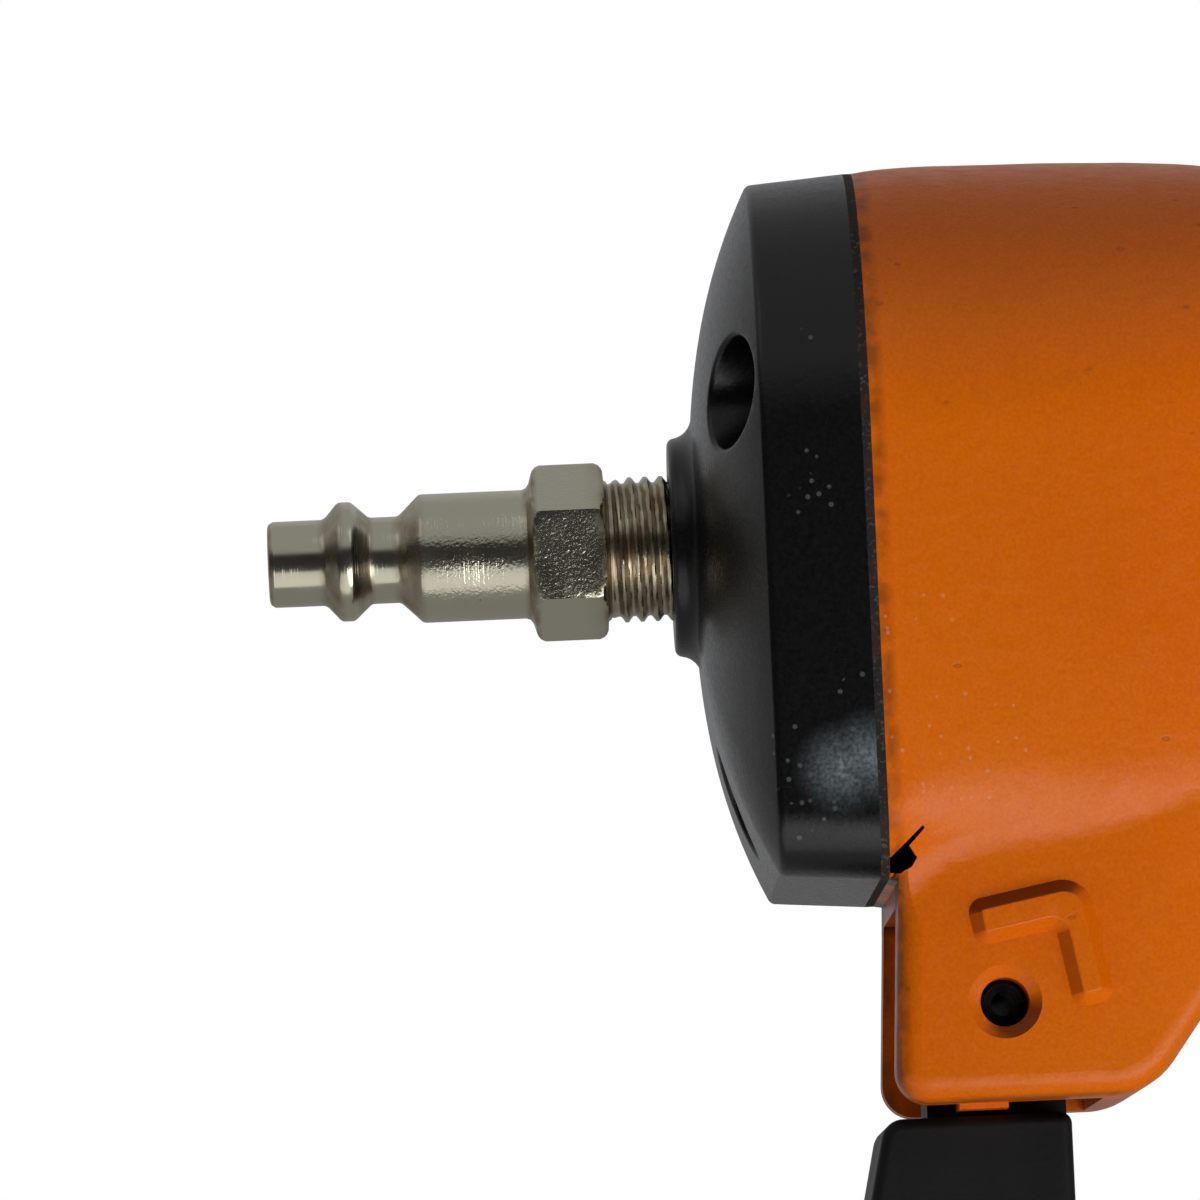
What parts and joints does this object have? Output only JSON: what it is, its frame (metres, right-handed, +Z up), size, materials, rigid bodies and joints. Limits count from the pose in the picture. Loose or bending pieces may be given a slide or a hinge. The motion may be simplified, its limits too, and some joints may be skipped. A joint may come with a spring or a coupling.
{
  "type": "pneumatic stapler",
  "caption": "Hand held pneumatic stapler with a cast air handle, a domed tail cap with air plug, a trigger, a contact foot and a long bottom magazine.",
  "frame": {"origin": "staple exit in the middle of the nose's work face", "axes": "+X forward from the handle to the nose, +Y to the tool's left, +Z up along the driver's axis"},
  "size_m": [0.3273, 0.0732, 0.2443],
  "materials": {
    "orange_paint": "satin, fine orange peel",
    "black_paint": "satin",
    "black_nylon": "matte",
    "rubber": "matte",
    "gasket": "matte",
    "nickel_plate": "bright plated",
    "black_oxide": "black oxide",
    "zinc_steel": "zinc plated",
    "hard_steel": "ground",
    "black_steel": "satin",
    "aluminium": "machined",
    "brass": "machined",
    "spring_steel": "drawn",
    "galvanised_wire": "galvanised"
  },
  "bodies": {
    "tool": {"body_casting": "orange_paint", "tail_gasket": "gasket", "tail_cap": "black_paint", "tail_cap_screws": "black_oxide", "air_plug": "nickel_plate", "grip_sleeve": "rubber", "top_gasket": "gasket", "top_cap": "black_paint", "top_cap_screws": "black_oxide", "deflector_screw": "black_oxide", "cylinder_sleeve": "aluminium", "cylinder_o_rings": "rubber", "bumper": "rubber", "trigger_pin": "zinc_steel", "trigger_clip": "black_oxide", "trigger_valve_body": "brass", "valve_o_rings": "rubber", "nose_base": "hard_steel", "nose_screws": "black_oxide", "nose_front_plate": "hard_steel", "front_plate_screws": "black_oxide", "contact_guide_screws": "black_oxide", "magazine_channel": "black_steel", "staple_rail": "hard_steel", "rail_screws": "black_oxide", "magazine_front_screws": "black_oxide", "magazine_end_block": "black_nylon", "staple_strip": "galvanised_wire", "tail_bracket": "black_nylon", "hanger_pin": "black_oxide", "bracket_bolts": "black_oxide", "bracket_nuts": "zinc_steel", "head_valve_spring": "spring_steel", "valve_spring": "spring_steel", "contact_spring": "spring_steel", "pusher_band": "spring_steel"},
    "trigger_lever": {"trigger": "black_steel", "rocker_pin": "zinc_steel"},
    "rocker": {"trigger_rocker": "hard_steel"},
    "stem": {"valve_stem": "brass"},
    "foot": {"contact_foot": "zinc_steel"},
    "driver": {"piston": "aluminium", "piston_o_ring": "rubber", "driver_pin": "zinc_steel", "driver_blade": "hard_steel"},
    "main_valve": {"head_valve": "aluminium", "head_valve_o_ring": "rubber", "valve_seat_seal": "rubber"},
    "pusher_slide": {"pusher": "black_nylon", "pusher_spring": "spring_steel"},
    "deflector": {"exhaust_deflector": "black_nylon"}
  },
  "joints": [
    {"name": "trigger_pull", "type": "hinge", "parent": "tool", "child": "trigger_lever", "pos_m": [-0.045, 0, 0.104], "axis": [0, 1, 0], "range_deg": [0, 12], "stiffness_Nm_per_rad": 0.5, "springref_deg": -8.59},
    {"name": "valve_lift", "type": "slide", "parent": "tool", "child": "stem", "axis": [0, 0, 1], "range_m": [0, 0.0034], "deforming": ["valve_spring"]},
    {"name": "contact_lift", "type": "slide", "parent": "tool", "child": "foot", "axis": [0, 0, 1], "range_m": [0, 0.007], "stiffness_N_per_m": 1500, "springref_m": -0.008, "deforming": ["contact_spring"]},
    {"name": "rocker_turn", "type": "hinge", "parent": "trigger_lever", "child": "rocker", "pos_m": [-0.076, 0, 0.0988], "axis": [0, -1, 0], "range_deg": [0, 9.1]},
    {"name": "piston_drive", "type": "slide", "parent": "tool", "child": "driver", "axis": [0, 0, -1], "range_m": [0, 0.0498]},
    {"name": "head_valve_lift", "type": "slide", "parent": "tool", "child": "main_valve", "axis": [0, 0, 1], "range_m": [0, 0.006], "stiffness_N_per_m": 1200, "springref_m": -0.006, "deforming": ["head_valve_spring"]},
    {"name": "pusher_feed", "type": "slide", "parent": "tool", "child": "pusher_slide", "axis": [1, 0, 0], "range_m": [-0.09, 0], "stiffness_N_per_m": 20, "springref_m": 0.3, "deforming": ["pusher_band"]},
    {"name": "deflector_turn", "type": "hinge", "parent": "tool", "child": "deflector", "pos_m": [0, 0, 0.222], "axis": [0, 0, 1], "continuous": true}
  ],
  "couplings": [
    {"joint": "valve_lift", "follows": "trigger_pull", "m_per_rad": 0.016},
    {"joint": "rocker_turn", "follows": "contact_lift", "rad_per_m": 22.44}
  ]
}
